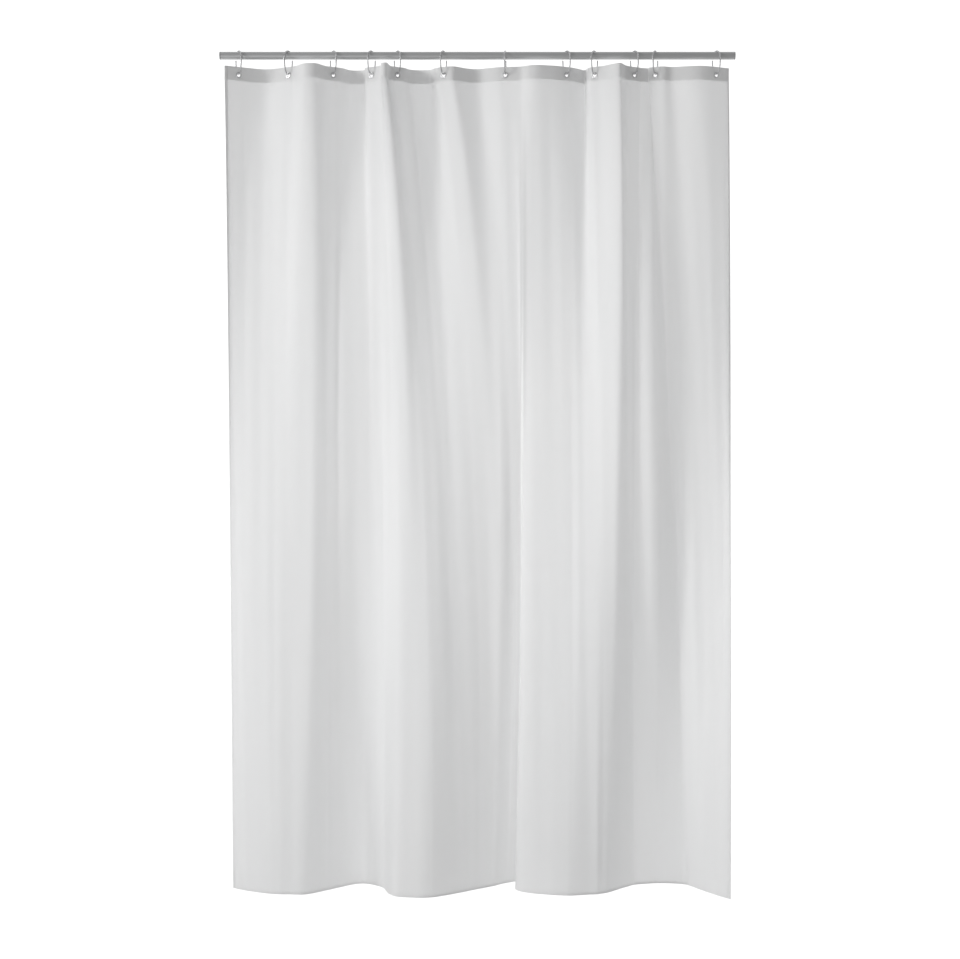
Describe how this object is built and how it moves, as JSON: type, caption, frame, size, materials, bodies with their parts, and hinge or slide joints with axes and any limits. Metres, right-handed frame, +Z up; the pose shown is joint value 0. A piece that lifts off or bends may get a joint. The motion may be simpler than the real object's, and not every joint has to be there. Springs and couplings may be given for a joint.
{
  "type": "shower curtain",
  "caption": "White shower curtain with a doubled heading and metal eyelets, hanging in soft folds from wire rings on a straight round rod; it draws along the rod and swings on it.",
  "frame": {"origin": "middle of the rod's left end face", "axes": "+X along the rod to the right as seen from the room, -Y towards the room, +Z up"},
  "size_m": [1.253, 0.2096, 2.0403],
  "materials": {
    "rod": "satin",
    "rod_plug": "matte",
    "ring": "satin",
    "eyelet": "satin",
    "cloth": "fine plain weave"
  },
  "bodies": {
    "rod": {"rod_tube": "rod", "rod_end_plug_left": "rod_plug", "rod_end_plug_right": "rod_plug"},
    "ring_set_01": {"ring_01": "ring", "eyelet_01": "eyelet", "eyelet_washer_01": "eyelet", "cloth_panel_01": "cloth"},
    "ring_set_02": {"ring_02": "ring", "eyelet_02": "eyelet", "eyelet_washer_02": "eyelet", "cloth_panel_02": "cloth"},
    "ring_set_03": {"ring_03": "ring", "eyelet_03": "eyelet", "eyelet_washer_03": "eyelet", "cloth_panel_03": "cloth"},
    "ring_set_04": {"ring_04": "ring", "eyelet_04": "eyelet", "eyelet_washer_04": "eyelet", "cloth_panel_04": "cloth"},
    "ring_set_05": {"ring_05": "ring", "eyelet_05": "eyelet", "eyelet_washer_05": "eyelet", "cloth_panel_05": "cloth"},
    "ring_set_06": {"ring_06": "ring", "eyelet_06": "eyelet", "eyelet_washer_06": "eyelet", "cloth_panel_06": "cloth"},
    "ring_set_07": {"ring_07": "ring", "eyelet_07": "eyelet", "eyelet_washer_07": "eyelet", "cloth_panel_07": "cloth"},
    "ring_set_08": {"ring_08": "ring", "eyelet_08": "eyelet", "eyelet_washer_08": "eyelet", "cloth_panel_08": "cloth"},
    "ring_set_09": {"ring_09": "ring", "eyelet_09": "eyelet", "eyelet_washer_09": "eyelet", "cloth_panel_09": "cloth"},
    "ring_set_10": {"ring_10": "ring", "eyelet_10": "eyelet", "eyelet_washer_10": "eyelet", "cloth_panel_10": "cloth"},
    "ring_set_11": {"ring_11": "ring", "eyelet_11": "eyelet", "eyelet_washer_11": "eyelet", "cloth_panel_11": "cloth"},
    "ring_set_12": {"ring_12": "ring", "eyelet_12": "eyelet", "eyelet_washer_12": "eyelet", "cloth_panel_12": "cloth"}
  },
  "joints": [
    {"name": "curtain_swing", "type": "hinge", "parent": "rod", "child": "ring_set_01", "pos_m": [0, 0, 0], "axis": [1, 0, 0], "range_deg": [-20, 20]},
    {"name": "draw_01", "type": "slide", "parent": "ring_set_01", "child": "ring_set_02", "axis": [1, 0, 0], "range_m": [-0.097, 0], "deforming": ["cloth_panel_01"]},
    {"name": "draw_02", "type": "slide", "parent": "ring_set_02", "child": "ring_set_03", "axis": [1, 0, 0], "range_m": [-0.085, 0], "deforming": ["cloth_panel_02"]},
    {"name": "draw_03", "type": "slide", "parent": "ring_set_03", "child": "ring_set_04", "axis": [1, 0, 0], "range_m": [-0.069, 0], "deforming": ["cloth_panel_03"]},
    {"name": "draw_04", "type": "slide", "parent": "ring_set_04", "child": "ring_set_05", "axis": [1, 0, 0], "range_m": [-0.039, 0], "deforming": ["cloth_panel_04"]},
    {"name": "draw_05", "type": "slide", "parent": "ring_set_05", "child": "ring_set_06", "axis": [1, 0, 0], "range_m": [-0.088, 0], "deforming": ["cloth_panel_05"]},
    {"name": "draw_06", "type": "slide", "parent": "ring_set_06", "child": "ring_set_07", "axis": [1, 0, 0], "range_m": [-0.126, 0], "deforming": ["cloth_panel_06"]},
    {"name": "draw_07", "type": "slide", "parent": "ring_set_07", "child": "ring_set_08", "axis": [1, 0, 0], "range_m": [-0.125, 0], "deforming": ["cloth_panel_07"]},
    {"name": "draw_08", "type": "slide", "parent": "ring_set_08", "child": "ring_set_09", "axis": [1, 0, 0], "range_m": [-0.044, 0], "deforming": ["cloth_panel_08"]},
    {"name": "draw_09", "type": "slide", "parent": "ring_set_09", "child": "ring_set_10", "axis": [1, 0, 0], "range_m": [-0.073, 0], "deforming": ["cloth_panel_09"]},
    {"name": "draw_10", "type": "slide", "parent": "ring_set_10", "child": "ring_set_11", "axis": [1, 0, 0], "range_m": [-0.027, 0], "deforming": ["cloth_panel_10"]},
    {"name": "draw_11", "type": "slide", "parent": "ring_set_11", "child": "ring_set_12", "axis": [1, 0, 0], "range_m": [-0.124, 0], "deforming": ["cloth_panel_11", "cloth_panel_12"]}
  ],
  "couplings": [
    {"joint": "draw_02", "follows": "draw_01", "ratio": 0.87629},
    {"joint": "draw_03", "follows": "draw_01", "ratio": 0.71134},
    {"joint": "draw_04", "follows": "draw_01", "ratio": 0.40206},
    {"joint": "draw_05", "follows": "draw_01", "ratio": 0.90722},
    {"joint": "draw_06", "follows": "draw_01", "ratio": 1.299},
    {"joint": "draw_07", "follows": "draw_01", "ratio": 1.2887},
    {"joint": "draw_08", "follows": "draw_01", "ratio": 0.45361},
    {"joint": "draw_09", "follows": "draw_01", "ratio": 0.75258},
    {"joint": "draw_10", "follows": "draw_01", "ratio": 0.27835},
    {"joint": "draw_11", "follows": "draw_01", "ratio": 1.2784}
  ]
}
